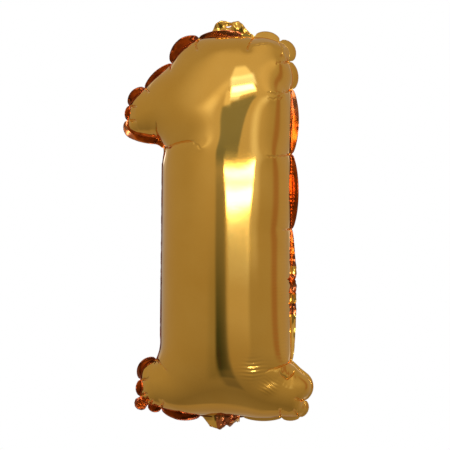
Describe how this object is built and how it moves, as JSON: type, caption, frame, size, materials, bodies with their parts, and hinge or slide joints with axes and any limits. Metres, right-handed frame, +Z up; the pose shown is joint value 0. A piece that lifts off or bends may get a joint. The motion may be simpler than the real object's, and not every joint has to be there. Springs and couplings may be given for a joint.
{
  "type": "foil number balloon",
  "caption": "Inflated foil balloon in the shape of the digit one, with a welded border, a hang tab with a hole, and a folded filling tail with a flat valve.",
  "frame": {"origin": "centre of the hang tab's hole, in the plane of the seam", "axes": "+Z up along the digit's stem, -Y out of the front of the digit, +X to the right of someone reading it; the seam lies in the XZ plane"},
  "size_m": [0.1646, 0.0902, 0.358],
  "materials": {
    "gold_foil": "mirror-bright gold metallised film",
    "welded_foil": "crinkled heat-sealed gold film, edge colour towards orange",
    "clear_valve_film": "clear thin polyethylene film"
  },
  "bodies": {
    "balloon": {"front_film": "gold_foil", "back_film": "gold_foil", "border_weld": "welded_foil", "neck_front_ply": "clear_valve_film", "neck_back_ply": "clear_valve_film"},
    "tab": {"hang_tab": "welded_foil"},
    "tail": {"tail_front_film": "gold_foil", "tail_back_film": "gold_foil", "tail_left_weld": "welded_foil", "tail_right_weld": "welded_foil", "tail_front_ply": "clear_valve_film", "tail_back_ply": "clear_valve_film"},
    "valve": {"valve_front_ply": "clear_valve_film", "valve_back_ply": "clear_valve_film"}
  },
  "joints": [
    {"name": "tab_fold", "type": "hinge", "parent": "balloon", "child": "tab", "pos_m": [0, 0, -0.0055], "axis": [1, 0, 0], "range_deg": [-75, 75]},
    {"name": "tail_fold", "type": "hinge", "parent": "balloon", "child": "tail", "pos_m": [-0.006, 0, -0.3505], "axis": [-1, 0, 0], "range_deg": [0, 150]},
    {"name": "valve_swing", "type": "hinge", "parent": "balloon", "child": "valve", "pos_m": [-0.006, 0, -0.335], "axis": [1, 0, 0], "range_deg": [-20, 20]}
  ]
}
